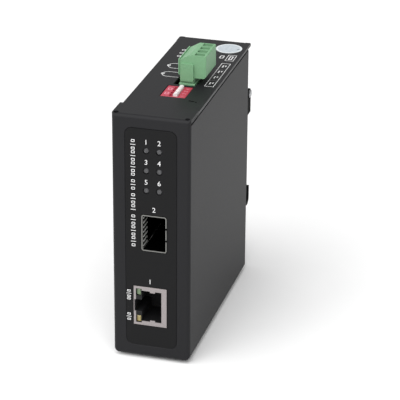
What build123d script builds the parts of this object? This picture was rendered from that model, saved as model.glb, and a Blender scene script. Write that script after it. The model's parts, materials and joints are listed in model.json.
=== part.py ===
from build123d import *
import os

os.makedirs("parts", exist_ok=True)

# A fibre media converter for a rail: a slim folded steel case with a vertical circuit board.
# Millimetres, +Z up, the ports face -Y, and the bottom plate lies on Z = 0.

# Case
SHEET = 1.0
BEND = 1.5
CASE_WIDTH = 30.5
SHELL_HEIGHT = 100.0
CHASSIS_DEPTH = 92.0
WALL_SETBACK = 6.0
FLANGE_DEPTH = 11.2
WALL_TOP_GAP = 0.3
WALL_FOOT_GAP = 0.9
FOOT_INSET = 2.05
TOP_EDGE_INSET = 0.25
TOP_CORNER = 0.8
TOP_EAR = 6.0
TOP_EAR_SHORT = 0.9
TOP_EDGE = 0.2
BOTTOM_INSET = 0.95
CHASSIS_SLIP = 0.35
BACK_FLANGE = 13.0
BACK_FLANGE_MARGIN = 2.2
SLIT_START = 1.2
RELIEF_DIAMETER = 1.9
RELIEF_INSET = 1.55
RELIEF_DEPTH = 1.8
TOP_PLATE_FRONT = 2.4
BOTTOM_PLATE_FRONT = 4.0

# Front overlay in its pressed recess, and the seal on top
RECESS_SIDE = 5.0
RECESS_TOP = 4.7
RECESS_BOTTOM = 4.6
RECESS_CORNER = 3.0
RECESS_DEPTH = 0.25
RECESS_SLOPE = 45
LABEL_SHEET = 0.2
LABEL_GAP = 0.05
SEAL_DIAMETER = 10.6
SEAL_SHEET = 0.12
SEAL_X = 8.1
SEAL_FROM_BACK = 10.0

# Circuit board on stand-offs from the right wall
STANDOFF = 6.55
STANDOFF_ACROSS = 5.0
BOARD_SHEET = 1.6
BOARD_FRONT = 3.0
BOARD_REAR_GAP = 2.0
BOARD_BOTTOM_GAP = 3.0
BOARD_TOP_GAP = 4.0
FIXING_FRONT = 14.0
FIXING_CLEAR = 2.0
FIXING_INSET = 4.5
THREAD = 3.0
THREAD_GAP = 0.08
HEAD_DIAMETER = 5.5
HEAD_HEIGHT = 2.0
SCREW_BITE = 4.0

# Places down the front, from the top edge to the bottom edge; they stretch with its height
TOP_TO_LAMPS = 13.7
LAMPS_TO_CAGE = 33.5
CAGE_TO_JACK = 30.9
JACK_TO_BOTTOM = 21.9

# Status lamps
LAMP_DIAMETER = 2.4
LAMP_COLLAR = 3.0
LAMP_COLLAR_LENGTH = 1.2
LAMP_HOLE_GAP = 0.08
LAMP_TIP_DEPTH = 0.15
LAMP_TIP_EDGE = 0.4
LAMP_HEIGHTS = (2.85, 7.9)
LAMP_PITCH = 8.05
LAMP_ROWS = 3
HOLDER_FRONT = 2.2
HOLDER_LENGTH = 5.6
HOLDER_WIDTH = 6.0
HOLDER_HEIGHT = 10.2
HOLDER_CHAMFER = 0.6

# Optical module cage
SFP_WIDTH = 14.85
SFP_HEIGHT = 9.85
SFP_LENGTH = 48.0
CAGE_SHEET = 0.4
CAGE_CORNER = 0.9
FINGER_LENGTH = 5.0
FINGER_SLOT = 0.8
SPRINGS = 7
SPRING_PITCH = 1.9
SPRING_WIDTH = 0.5
SPRING_PROUD = 0.25
SPRING_START = 0.8
PORT_GAP = 0.25
SFP_SOCKET_FROM_END = 14.0
SFP_SOCKET_LENGTH = 10.0
SFP_SOCKET_WIDTH = 11.0
SFP_SOCKET_HEIGHT = 5.6
SFP_SLOT = 1.4
SFP_SLOT_WIDTH = 9.4
SFP_SLOT_DEPTH = 5.0
SFP_SLOT_RISE = 3.4

# Copper jack, its latch away from the board
RJ45_WIDTH = 16.4
RJ45_HEIGHT = 13.1
RJ45_LENGTH = 21.3
SHIELD_SHEET = 0.25
MOUTH_LOW = 2.05
MOUTH_SIDE = 1.725
MOUTH_DEPTH = 13.0
NOTCH_WALL = 0.6
NOTCH_WIDTH = 4.9
PIPE_WIDTH = 2.9
PIPE_TALL = 2.0
PIPE_WALL = 0.9
PIPE_SIDE = 1.0
PIPE_BESIDE = 0.3
PIPE_PROUD = 0.15
PIPE_GAP = 0.15
PIPE_EDGE = 0.4
SHIELD_TAB = 2.0
SHIELD_TAB_RISE = 0.6
SHIELD_TAB_LOW = 3.55
CONTACTS = 8
CONTACT_PITCH = 1.02
CONTACT_WIDTH = 0.4
CONTACT_ROOT = 3.5
CONTACT_END = 11.0
CONTACT_RISE = 2.3

# DIP switch
DIP_DEPTH = 30.25
DIP_END = 0.77
DIP_HEIGHT = 9.9
DIP_TALL = 8.0
DIP_EDGE = 0.25
DIP_SUNK = 0.1
DIP_GAP = 0.12
DIP_WAYS = 4
DIP_PITCH = 2.54
DIP_TRAVEL = 1.6
SLIDER_SPACE = 0.64
SLIDER_LENGTH = 1.7
SLIDER_PROUD = 1.1
SLIDER_SUNK = 1.2
SLIDER_GAP = 0.12

# Pluggable terminal
POLES = 4
POLE_PITCH = 3.81
DIP_TO_TERMINAL = 1.9
HEADER_END = 2.3
HEADER_HEIGHT = 6.2
HEADER_TALL = 9.2
HEADER_WALL = 0.7
HEADER_EDGE = 0.2
HEADER_FLOOR = 1.2
HEADER_PROUD = 0.6
TERMINAL_WINDOW_GAP = 0.4
TERMINAL_WINDOW_LOW = 0.5
TERMINAL_WINDOW_HIGH = 8.4
PIN = 0.8
PIN_GAP = 0.15
PIN_TOP_SUNK = 2.0
PIN_DROP = 1.2
PLUG_END = 1.75
PLUG_GAP = 0.15
PLUG_SEAT = 0.4
SHOULDER_HALF = 2.8
SHOULDER_TALL = 2.7
PLUG_LEFT = 3.65
PLUG_RIGHT = 7.4
PLUG_TALL = 7.3
PLUG_STEP = 1.0
PLUG_STEP_X = 1.9
PLUG_CHAMFER = 0.8
PANEL_PROUD = 0.8
PANEL_TALL = 7.0
PANEL_ROUND = 0.6
PLUG_EDGE = 0.3
GROOVE = 0.4
LID_SHEET = 0.75
LID_GROOVE = 0.25
WIRE_INSIDE = 0.8
WIRE_OUTSIDE = 0.9
WIRE_SPACE = 1.3
WIRE_FLOOR = 1.1
CLAMP_GAP = 0.1
CLAMP_SHEET = 0.4
CLAMP_TALL = 4.0
CLAMP_SCREW_Z = 3.7
CLAMP_HEAD = 2.2
CLAMP_HEAD_LENGTH = 1.6
CLAMP_HEAD_SUNK = 0.3
CLAMP_SHANK = 1.3
CLAMP_SLOT = 0.4
CLAMP_BORE_GAP = 0.25

# Inner electronics
CHIP = 14.0
CHIP_TALL = 1.4
CHIP_BEHIND_CAGE = 9.0
CHIP_DROP = 3.8
TRANSFORMER = (12.0, 16.0, 6.0)
TRANSFORMER_BEHIND_JACK = 8.7
INDUCTOR = 12.0
INDUCTOR_TALL = 7.0
INDUCTOR_BEHIND_CAN = 12.5
INDUCTOR_ABOVE_CHIP = 24.0
CAPACITOR = 8.0
CAPACITOR_TALL = 12.0
CAPACITOR_PITCH = 9.5
CAPACITORS = 2
CAPACITOR_ABOVE_CHIP = 26.0
CAPACITOR_EDGE = 0.8
CRYSTAL = (4.6, 11.0, 3.5)
CRYSTAL_BELOW_CHIP = 16.0

# Rail clip on the back
RAIL_HEIGHT = 35.0
RAIL_SHEET = 1.0
RAIL_BELOW_MIDDLE = 1.2
RAIL_GAP = 0.4
CLIP_SHEET = 1.5
CLIP_INSET = 0.4
HOOK_FLAT = 0.3
CLIP_TOP = 11.1
CLIP_CORNER = 2.0
HOOK_DROP = 4.4
HOOK_GAP = 1.6
HOOK_LIP = 2.0
HOOK_WIDTH = 8.0
EAR_SHEET = 1.5
EAR_FOOT = 0.3
PIN_DIAMETER = 2.0
PIN_HEAD = 3.4
PIN_HEAD_LENGTH = 0.6
PIN_HEAD_EDGE = 0.3
EYE_CLEAR = 0.35
PIVOT_UP = 9.0
EYE_GAP = 0.08
EYE_WALL = 1.0
JAW_SHEET = 1.2
JAW_SIDE_GAP = 0.3
JAW_LIP = 1.8
JAW_TAIL = 3.6
CLIP_SCREWS = ((-7.0, 8.0), (7.0, 8.0), (0.0, -8.0))
CLIP_SCREW_LENGTH = 6.0

# Countersunk screws under the front edge
FOOT_SCREW = 2.5
FOOT_HEAD = 4.4
FOOT_SCREW_SPACING = 16.0
FOOT_SCREW_INSET = 3.8
FOOT_SCREW_LENGTH = 4.0

# Levels and places that follow from the sizes
HALF = CASE_WIDTH / 2
WALL_INSIDE = HALF - SHEET
WALL_DEPTH = CHASSIS_DEPTH - WALL_SETBACK
SHELL_BOTTOM = SHEET
SHELL_TOP = SHELL_BOTTOM + SHELL_HEIGHT
TOP_FACE = SHELL_TOP - SHEET
WALL_TOP = TOP_FACE - SHEET - WALL_TOP_GAP
WALL_BOTTOM = SHELL_BOTTOM + SHEET + WALL_FOOT_GAP
EYE_RADIUS = PIN_DIAMETER / 2 + EYE_GAP + EYE_WALL
PIVOT_OUT = CLIP_SHEET + EYE_CLEAR + EYE_RADIUS
CLIP_REACH = PIVOT_OUT + EYE_RADIUS
FRONT = -(CHASSIS_DEPTH + CLIP_REACH) / 2
BACK = FRONT + CHASSIS_DEPTH
BACK_HALF = WALL_INSIDE - CHASSIS_SLIP
RECESS_WIDTH = CASE_WIDTH - 2 * RECESS_SIDE
RECESS_HEIGHT = SHELL_HEIGHT - RECESS_TOP - RECESS_BOTTOM
RECESS_Z = SHELL_BOTTOM + RECESS_BOTTOM + RECESS_HEIGHT / 2
FOOT_SCREW_DEPTH = FLANGE_DEPTH - FOOT_SCREW_INSET
BOARD_BACK = WALL_INSIDE - STANDOFF
BOARD_FACE = BOARD_BACK - BOARD_SHEET
BOARD_REAR = WALL_DEPTH - BOARD_REAR_GAP
BOARD_BOTTOM = SHELL_BOTTOM + SHEET + BOARD_BOTTOM_GAP
BOARD_TOP = TOP_FACE - BOARD_TOP_GAP
STRETCH = SHELL_HEIGHT / (TOP_TO_LAMPS + LAMPS_TO_CAGE + CAGE_TO_JACK + JACK_TO_BOTTOM)
RJ45_Z = SHELL_BOTTOM + STRETCH * JACK_TO_BOTTOM
SFP_Z = RJ45_Z + STRETCH * CAGE_TO_JACK
LAMP_TOP_Z = SFP_Z + STRETCH * LAMPS_TO_CAGE
SFP_X = BOARD_FACE - SFP_HEIGHT / 2
SFP_SOCKET_DEPTH = SFP_LENGTH - SFP_SOCKET_FROM_END
RJ45_X = BOARD_FACE - RJ45_HEIGHT / 2
PIPE_HIGH = RJ45_HEIGHT - PIPE_WALL
PIPE_LOW = PIPE_HIGH - PIPE_TALL
PIPE_CENTRE = RJ45_WIDTH / 2 - PIPE_SIDE - PIPE_WIDTH / 2
MOUTH_HIGH = PIPE_LOW - PIPE_BESIDE
MOUTH_WIDTH = RJ45_WIDTH - 2 * MOUTH_SIDE
NOTCH_HIGH = RJ45_HEIGHT - NOTCH_WALL
SHIELD_INSIDE = RJ45_HEIGHT - SHIELD_SHEET
DIP_LENGTH = DIP_WAYS * DIP_PITCH + 2 * DIP_END
SLIDER_WIDTH = DIP_PITCH - SLIDER_SPACE
HEADER_LENGTH = (POLES - 1) * POLE_PITCH + 2 * HEADER_END
PLUG_LENGTH = (POLES - 1) * POLE_PITCH + 2 * PLUG_END
TERMINAL_DEPTH = DIP_DEPTH + DIP_LENGTH / 2 + DIP_TO_TERMINAL + HEADER_LENGTH / 2
WIRE_LOW = PLUG_STEP_X + WIRE_INSIDE
WIRE_HIGH = PLUG_RIGHT - WIRE_OUTSIDE
WIRE_ACROSS = POLE_PITCH - WIRE_SPACE
RAIL_Z = SHELL_BOTTOM + SHELL_HEIGHT / 2 - RAIL_BELOW_MIDDLE
CUT = 1.0
FIXING_LOW = BOARD_BOTTOM + FIXING_INSET
FIXING_HIGH = BOARD_TOP - FIXING_INSET
FIXING_BEHIND_JACK = RJ45_LENGTH + FIXING_CLEAR + HEAD_DIAMETER / 2
FIXING_REAR = CHASSIS_DEPTH - BACK_FLANGE - FIXING_CLEAR - STANDOFF_ACROSS / 2
FIXINGS = [
    (FRONT + FIXING_FRONT, FIXING_HIGH),
    (FRONT + FIXING_BEHIND_JACK, FIXING_LOW),
    (FRONT + FIXING_REAR, FIXING_HIGH),
    (FRONT + FIXING_REAR, FIXING_LOW),
]
LAMPS = [
    (BOARD_FACE - height, LAMP_TOP_Z - row * LAMP_PITCH)
    for row in range(LAMP_ROWS)
    for height in LAMP_HEIGHTS
]
POLE_DEPTHS = [
    TERMINAL_DEPTH + (pole - (POLES - 1) / 2) * POLE_PITCH for pole in range(POLES)
]
WAY_DEPTHS = [DIP_DEPTH + (way - (DIP_WAYS - 1) / 2) * DIP_PITCH for way in range(DIP_WAYS)]


def facing(depth):
    """The plane parallel to the front face, this far behind it; a negative extrusion goes deeper."""
    return Plane.XZ.offset(-(FRONT + depth))


def block(x, y, z, mode=Mode.ADD):
    """Fill the box between three pairs of limits."""
    with Locations(((x[0] + x[1]) / 2, (y[0] + y[1]) / 2, (z[0] + z[1]) / 2)):
        Box(x[1] - x[0], y[1] - y[0], z[1] - z[0], mode=mode)


def about(centre, size):
    """The limits of a size about its centre."""
    return (centre - size / 2, centre + size / 2)


def save(part, name):
    """Label a finished piece and write it."""
    part.label = name
    export_step(part, f"parts/{name}.step")


def front_openings(gap, lamp_gap):
    """Sketch the lamp holes and the two port openings, each wider by a gap."""
    with Locations(*LAMPS):
        Circle(LAMP_DIAMETER / 2 + lamp_gap)
    with Locations((SFP_X, SFP_Z)):
        RectangleRounded(SFP_HEIGHT + 2 * gap, SFP_WIDTH + 2 * gap, CAGE_CORNER + gap)
    with Locations((RJ45_X, RJ45_Z)):
        Rectangle(RJ45_HEIGHT + 2 * gap, RJ45_WIDTH + 2 * gap)


# Front shell: front, side walls and two short flanges folded from one sheet
with BuildPart() as front_shell:
    block((-HALF, HALF), (FRONT, FRONT + WALL_DEPTH), (SHELL_BOTTOM, SHELL_TOP))
    fillet(front_shell.faces().sort_by(Axis.Y)[0].edges(), BEND)
    offset(amount=-SHEET, openings=front_shell.faces().sort_by(Axis.Y)[-1])
    with BuildSketch(facing(SHEET)):
        with Locations((0, RECESS_Z)):
            RectangleRounded(RECESS_WIDTH, RECESS_HEIGHT, RECESS_CORNER)
    extrude(amount=-RECESS_DEPTH, taper=RECESS_SLOPE)
    with BuildSketch(facing(0)):
        with Locations((0, RECESS_Z)):
            RectangleRounded(RECESS_WIDTH, RECESS_HEIGHT, RECESS_CORNER)
    extrude(amount=-RECESS_DEPTH, taper=RECESS_SLOPE, mode=Mode.SUBTRACT)
    with BuildSketch(facing(0)):
        front_openings(PORT_GAP, LAMP_HOLE_GAP)
    extrude(amount=-(SHEET + RECESS_DEPTH + CUT), mode=Mode.SUBTRACT)
    behind_flange = (FRONT + FLANGE_DEPTH, FRONT + WALL_DEPTH + CUT)
    across = (-HALF - CUT, HALF + CUT)
    block(across, behind_flange, (WALL_TOP, SHELL_TOP + CUT), Mode.SUBTRACT)
    block(across, behind_flange, (SHELL_BOTTOM - CUT, WALL_BOTTOM), Mode.SUBTRACT)
    for side in (-1, 1):
        wall = sorted((side * WALL_INSIDE, side * (HALF + CUT)))
        block(
            wall, (FRONT + SLIT_START, FRONT + FLANGE_DEPTH + CUT), (WALL_TOP, TOP_FACE), Mode.SUBTRACT
        )
        with Locations((side * (HALF - RELIEF_INSET), FRONT + RELIEF_DEPTH, SHELL_TOP)):
            Cylinder(RELIEF_DIAMETER / 2, 2 * (SHELL_TOP - WALL_TOP), mode=Mode.SUBTRACT)
        foot = side * (HALF - FOOT_INSET)
        outer = side * (HALF + CUT)
        with BuildSketch(facing(-CUT)):
            with BuildLine():
                Polyline(
                    (foot, SHELL_BOTTOM),
                    (side * HALF, WALL_BOTTOM),
                    (outer, WALL_BOTTOM),
                    (outer, SHELL_BOTTOM - CUT),
                    (foot, SHELL_BOTTOM - CUT),
                    close=True,
                )
            make_face()
        extrude(amount=-(FLANGE_DEPTH + 2 * CUT), mode=Mode.SUBTRACT)
        block(
            sorted((foot, outer)),
            (FRONT + BEND, FRONT + FLANGE_DEPTH + CUT),
            (SHELL_BOTTOM - CUT, WALL_BOTTOM),
            Mode.SUBTRACT,
        )
    with Locations(
        *[(x, FRONT + FOOT_SCREW_DEPTH, SHELL_BOTTOM) for x in about(0, FOOT_SCREW_SPACING)]
    ):
        Cylinder(FOOT_SCREW / 2 + THREAD_GAP, 4 * SHEET, mode=Mode.SUBTRACT)
save(front_shell.part, "front_shell")

# Rear chassis: top plate, back and bottom folded from one sheet, with flanges inside the side walls
TOP_HALF = HALF - TOP_EDGE_INSET
BOTTOM_HALF = WALL_INSIDE - BOTTOM_INSET
with BuildPart() as rear_chassis:
    with BuildSketch(Plane.YZ):
        with BuildLine():
            FilletPolyline(
                (FRONT + TOP_PLATE_FRONT, TOP_FACE - SHEET / 2),
                (BACK - SHEET / 2, TOP_FACE - SHEET / 2),
                (BACK - SHEET / 2, SHEET / 2),
                (FRONT + BOTTOM_PLATE_FRONT, SHEET / 2),
                radius=BEND - SHEET / 2,
            )
        trace(line_width=SHEET)
    extrude(amount=TOP_HALF, both=True)
    chamfer(rear_chassis.edges().filter_by(Axis.Y).group_by(Axis.Z)[-1], TOP_EDGE)
    for side in (-1, 1):
        block(
            sorted((side * BOTTOM_HALF, side * (TOP_HALF + CUT))),
            (FRONT, BACK + CUT),
            (-CUT, TOP_FACE - BEND),
            Mode.SUBTRACT,
        )
        block(
            sorted((side * (BACK_HALF - BEND), side * (TOP_HALF + CUT))),
            (BACK - BEND, BACK + CUT),
            (-CUT, TOP_FACE + CUT),
            Mode.SUBTRACT,
        )
        with BuildSketch(Plane.XY.offset(TOP_FACE - SHEET)):
            with Locations((side * (BACK_HALF - BEND + TOP_HALF) / 2, BACK - TOP_EAR_SHORT - TOP_EAR / 2)):
                RectangleRounded(TOP_HALF - BACK_HALF + BEND, TOP_EAR, TOP_CORNER)
        extrude(amount=SHEET)
    with BuildSketch(Plane.XY.offset(BACK_FLANGE_MARGIN)):
        with BuildLine():
            FilletPolyline(
                (-BACK_HALF + SHEET / 2, BACK - BACK_FLANGE),
                (-BACK_HALF + SHEET / 2, BACK - SHEET / 2),
                (BACK_HALF - SHEET / 2, BACK - SHEET / 2),
                (BACK_HALF - SHEET / 2, BACK - BACK_FLANGE),
                radius=BEND - SHEET / 2,
            )
        trace(line_width=SHEET)
    extrude(amount=TOP_FACE - 2 * BACK_FLANGE_MARGIN)
    dip_window = about(FRONT + DIP_DEPTH, DIP_LENGTH + 2 * DIP_GAP)
    block(
        (BOARD_FACE - DIP_HEIGHT - DIP_GAP, BOARD_FACE + DIP_GAP),
        dip_window,
        (TOP_FACE - 2 * SHEET, TOP_FACE + CUT),
        Mode.SUBTRACT,
    )
    block(
        (BOARD_FACE - TERMINAL_WINDOW_HIGH, BOARD_FACE + TERMINAL_WINDOW_LOW),
        about(FRONT + TERMINAL_DEPTH, HEADER_LENGTH + 2 * TERMINAL_WINDOW_GAP),
        (TOP_FACE - 2 * SHEET, TOP_FACE + CUT),
        Mode.SUBTRACT,
    )
    with Locations(*[(x, FRONT + FOOT_SCREW_DEPTH, 0) for x in about(0, FOOT_SCREW_SPACING)]):
        Cone(
            FOOT_HEAD / 2 + THREAD_GAP,
            FOOT_SCREW / 2 + THREAD_GAP,
            SHEET,
            align=(Align.CENTER, Align.CENTER, Align.MIN),
            mode=Mode.SUBTRACT,
        )
    with BuildSketch(Plane.XZ.offset(-BACK)):
        with Locations(*[(x, RAIL_Z + up) for x, up in CLIP_SCREWS]):
            Circle(THREAD / 2 + THREAD_GAP)
    extrude(amount=2 * SHEET, mode=Mode.SUBTRACT)
save(rear_chassis.part, "rear_chassis")

# Flat-headed screws that hold the bottom plate to the shell's lower flange
with BuildPart() as case_screws:
    with Locations(*[(x, FRONT + FOOT_SCREW_DEPTH, 0) for x in about(0, FOOT_SCREW_SPACING)]):
        Cone(
            FOOT_HEAD / 2,
            FOOT_SCREW / 2,
            SHEET - THREAD_GAP,
            align=(Align.CENTER, Align.CENTER, Align.MIN),
        )
        Cylinder(
            FOOT_SCREW / 2, FOOT_SCREW_LENGTH, align=(Align.CENTER, Align.CENTER, Align.MIN)
        )
save(case_screws.part, "case_screws")

# Printed overlay that lies in the pressed recess
LABEL_INSET = RECESS_DEPTH + LABEL_GAP
with BuildPart() as front_label:
    with BuildSketch(facing(RECESS_DEPTH)):
        with Locations((0, RECESS_Z)):
            RectangleRounded(
                RECESS_WIDTH - 2 * LABEL_INSET, RECESS_HEIGHT - 2 * LABEL_INSET, RECESS_CORNER - LABEL_INSET
            )
    extrude(amount=LABEL_SHEET)
    with BuildSketch(facing(0)):
        front_openings(PORT_GAP, LAMP_HOLE_GAP)
    extrude(amount=-(RECESS_DEPTH + CUT), mode=Mode.SUBTRACT)
save(front_label.part, "front_label")

# Round paper seal on the top plate
with BuildPart() as round_seal:
    with BuildSketch(Plane.XY.offset(TOP_FACE)):
        with Locations((SEAL_X, BACK - SEAL_FROM_BACK)):
            Circle(SEAL_DIAMETER / 2)
    extrude(amount=SEAL_SHEET)
save(round_seal.part, "round_seal")

# Circuit board with its fixing holes and the holes of the terminal pins
PIN_X = BOARD_FACE - HEADER_HEIGHT / 2
HEADER_TOP = TOP_FACE + HEADER_PROUD
HEADER_BOTTOM = HEADER_TOP - HEADER_TALL
PIN_BEND_Z = HEADER_BOTTOM - PIN_DROP
with BuildPart() as main_board:
    block(
        (BOARD_FACE, BOARD_BACK), (FRONT + BOARD_FRONT, FRONT + BOARD_REAR), (BOARD_BOTTOM, BOARD_TOP)
    )
    fillet(main_board.edges().filter_by(Axis.X), BEND)
    with BuildSketch(Plane.YZ.offset(BOARD_FACE)):
        with Locations(*FIXINGS):
            Circle(THREAD / 2 + THREAD_GAP)
        with Locations(*[(FRONT + depth, PIN_BEND_Z) for depth in POLE_DEPTHS]):
            Circle(PIN)
    extrude(amount=BOARD_SHEET, mode=Mode.SUBTRACT)
save(main_board.part, "main_board")

# Hexagonal stand-offs clinched into the right wall
with BuildPart() as board_standoffs:
    with BuildSketch(Plane.YZ.offset(BOARD_BACK)):
        with Locations(*FIXINGS):
            RegularPolygon(STANDOFF_ACROSS / 2, 6, major_radius=False)
            Circle(THREAD / 2 + THREAD_GAP, mode=Mode.SUBTRACT)
    extrude(amount=STANDOFF)
save(board_standoffs.part, "board_standoffs")

# Pan-headed screws through the board
with BuildPart() as board_screws:
    with BuildSketch(Plane.YZ.offset(BOARD_FACE)):
        with Locations(*FIXINGS):
            Circle(HEAD_DIAMETER / 2)
    extrude(amount=-HEAD_HEIGHT)
    chamfer(board_screws.faces().sort_by(Axis.X)[0 : len(FIXINGS)].edges(), HEAD_HEIGHT / 3)
    with BuildSketch(Plane.YZ.offset(BOARD_FACE)):
        with Locations(*FIXINGS):
            Circle(THREAD / 2)
    extrude(amount=BOARD_SHEET + SCREW_BITE)
save(board_screws.part, "board_screws")

# Lamp holders: each carries a low and a high lamp behind the front
for row in range(LAMP_ROWS):
    level = LAMP_TOP_Z - row * LAMP_PITCH
    lamps = [(BOARD_FACE - height, level) for height in LAMP_HEIGHTS]
    with BuildPart() as lamp_holder:
        block(
            (BOARD_FACE - HOLDER_HEIGHT, BOARD_FACE),
            (FRONT + HOLDER_FRONT, FRONT + HOLDER_FRONT + HOLDER_LENGTH),
            about(level, HOLDER_WIDTH),
        )
        chamfer(lamp_holder.faces().sort_by(Axis.X)[0].edges(), HOLDER_CHAMFER)
        with BuildSketch(facing(HOLDER_FRONT)):
            with Locations(*lamps):
                Circle(LAMP_COLLAR / 2 + LAMP_HOLE_GAP)
        extrude(amount=-HOLDER_LENGTH / 2, mode=Mode.SUBTRACT)
    save(lamp_holder.part, f"lamp_holder_{row + 1}")

# Status lamps: moulded lenses with a collar in the holder and a bevelled tip in the front's hole
for number, place in enumerate(LAMPS, start=1):
    with BuildPart() as status_lamp:
        with BuildSketch(facing(LAMP_TIP_DEPTH)):
            with Locations(place):
                Circle(LAMP_DIAMETER / 2)
        extrude(amount=-(HOLDER_FRONT + HOLDER_LENGTH / 2 - LAMP_TIP_DEPTH))
        chamfer(status_lamp.faces().sort_by(Axis.Y)[0].edges(), LAMP_TIP_EDGE)
        with BuildSketch(facing(HOLDER_FRONT + HOLDER_LENGTH / 2)):
            with Locations(place):
                Circle(LAMP_COLLAR / 2)
        extrude(amount=LAMP_COLLAR_LENGTH)
    save(status_lamp.part, f"status_lamp_{number}")

# Cage of the optical module: a sheet box, open in front, its mouth slit on the right and sprung on the left
CAGE_WINDOW = SFP_SOCKET_LENGTH + 2 * CAGE_SHEET
with BuildPart() as sfp_cage:
    with BuildSketch(facing(0)):
        with Locations((SFP_X, SFP_Z)):
            RectangleRounded(SFP_HEIGHT, SFP_WIDTH, CAGE_CORNER)
    extrude(amount=-SFP_LENGTH)
    offset(amount=-CAGE_SHEET, openings=sfp_cage.faces().sort_by(Axis.Y)[0])
    finger = (FRONT - CUT, FRONT + FINGER_LENGTH)
    for level in about(SFP_Z, SFP_WIDTH / 3):
        block(about(BOARD_FACE, 3 * CAGE_SHEET), finger, about(level, FINGER_SLOT), Mode.SUBTRACT)
    wall = BOARD_FACE - SFP_HEIGHT + CAGE_SHEET
    for spring in range(SPRINGS):
        block(
            (wall, wall + SPRING_PROUD),
            (FRONT + SPRING_START, FRONT + SPRING_START + FINGER_LENGTH),
            about(SFP_Z + (spring - (SPRINGS - 1) / 2) * SPRING_PITCH, SPRING_WIDTH),
        )
    block(
        about(BOARD_FACE, 3 * CAGE_SHEET),
        about(FRONT + SFP_SOCKET_DEPTH + SFP_SOCKET_LENGTH / 2, CAGE_WINDOW),
        about(SFP_Z, SFP_SOCKET_WIDTH + 2 * CAGE_SHEET),
        Mode.SUBTRACT,
    )
save(sfp_cage.part, "sfp_cage")

# Edge connector inside the cage, soldered to the board
with BuildPart() as sfp_socket:
    block(
        (BOARD_FACE - SFP_SOCKET_HEIGHT, BOARD_FACE),
        (FRONT + SFP_SOCKET_DEPTH, FRONT + SFP_SOCKET_DEPTH + SFP_SOCKET_LENGTH),
        about(SFP_Z, SFP_SOCKET_WIDTH),
    )
    chamfer(sfp_socket.faces().sort_by(Axis.X)[0].edges().filter_by(Axis.Z), HOLDER_CHAMFER)
    with BuildSketch(facing(SFP_SOCKET_DEPTH)):
        with Locations((BOARD_FACE - SFP_SLOT_RISE, SFP_Z)):
            Rectangle(SFP_SLOT, SFP_SLOT_WIDTH)
    extrude(amount=-SFP_SLOT_DEPTH, mode=Mode.SUBTRACT)
save(sfp_socket.part, "sfp_socket")


def jack_mouth():
    """Sketch the mouth of the copper jack with the notch for the plug's latch."""
    with Locations((BOARD_FACE - (MOUTH_LOW + MOUTH_HIGH) / 2, RJ45_Z)):
        Rectangle(MOUTH_HIGH - MOUTH_LOW, MOUTH_WIDTH)
    with Locations((BOARD_FACE - (MOUTH_LOW + NOTCH_HIGH) / 2, RJ45_Z)):
        Rectangle(NOTCH_HIGH - MOUTH_LOW, NOTCH_WIDTH)


def lamp_windows(sides, gap=0):
    """Sketch the windows of the jack's corner lamps on the given sides of the notch, smaller by a gap."""
    for side in sides:
        with Locations((BOARD_FACE - (PIPE_LOW + PIPE_HIGH) / 2, RJ45_Z + side * PIPE_CENTRE)):
            Rectangle(PIPE_HIGH - PIPE_LOW - 2 * gap, PIPE_WIDTH - 2 * gap)


# Shield of the copper jack, folded from tinned sheet and open towards the board
with BuildPart() as rj45_shield:
    with BuildSketch(facing(0)):
        with Locations((RJ45_X, RJ45_Z)):
            Rectangle(RJ45_HEIGHT, RJ45_WIDTH)
    extrude(amount=-RJ45_LENGTH)
    offset(amount=-SHIELD_SHEET, openings=rj45_shield.faces().sort_by(Axis.X)[-1])
    with BuildSketch(facing(0)):
        jack_mouth()
        with Locations((BOARD_FACE - (MOUTH_HIGH + PIPE_HIGH) / 2, RJ45_Z)):
            Rectangle(PIPE_HIGH - MOUTH_HIGH, 2 * PIPE_CENTRE + PIPE_WIDTH)
        with Locations((BOARD_FACE - (MOUTH_HIGH + SHIELD_INSIDE) / 2, RJ45_Z)):
            Rectangle(SHIELD_INSIDE - MOUTH_HIGH, NOTCH_WIDTH)
    extrude(amount=-SHIELD_SHEET, mode=Mode.SUBTRACT)
    for edge in about(RJ45_Z, MOUTH_WIDTH - SHIELD_TAB_RISE):
        block(
            about(BOARD_FACE - MOUTH_LOW - SHIELD_TAB_LOW, SHIELD_TAB),
            (FRONT, FRONT + SHIELD_SHEET),
            about(edge, SHIELD_TAB_RISE),
        )
save(rj45_shield.part, "rj45_shield")

# Moulded body of the copper jack
with BuildPart() as rj45_body:
    block(
        (BOARD_FACE - RJ45_HEIGHT + SHIELD_SHEET, BOARD_FACE),
        (FRONT + SHIELD_SHEET, FRONT + RJ45_LENGTH - SHIELD_SHEET),
        about(RJ45_Z, RJ45_WIDTH - 2 * SHIELD_SHEET),
    )
    with BuildSketch(facing(0)):
        jack_mouth()
        lamp_windows((-1, 1))
    extrude(amount=-MOUTH_DEPTH, mode=Mode.SUBTRACT)
save(rj45_body.part, "rj45_body")

# Sprung contacts that slope from the floor of the mouth towards its end
with BuildPart() as rj45_contacts:
    floor = BOARD_FACE - MOUTH_LOW
    for contact in range(CONTACTS):
        level = RJ45_Z + (contact - (CONTACTS - 1) / 2) * CONTACT_PITCH
        with BuildSketch(Plane.XY.offset(level)):
            with BuildLine():
                Polyline(
                    (floor, FRONT + CONTACT_ROOT),
                    (floor, FRONT + CONTACT_ROOT + 2 * CONTACT_WIDTH),
                    (floor - CONTACT_RISE + CONTACT_WIDTH, FRONT + CONTACT_END),
                    (floor - CONTACT_RISE, FRONT + CONTACT_END),
                    close=True,
                )
            make_face()
        extrude(amount=CONTACT_WIDTH / 2, both=True)
save(rj45_contacts.part, "rj45_contacts")

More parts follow.
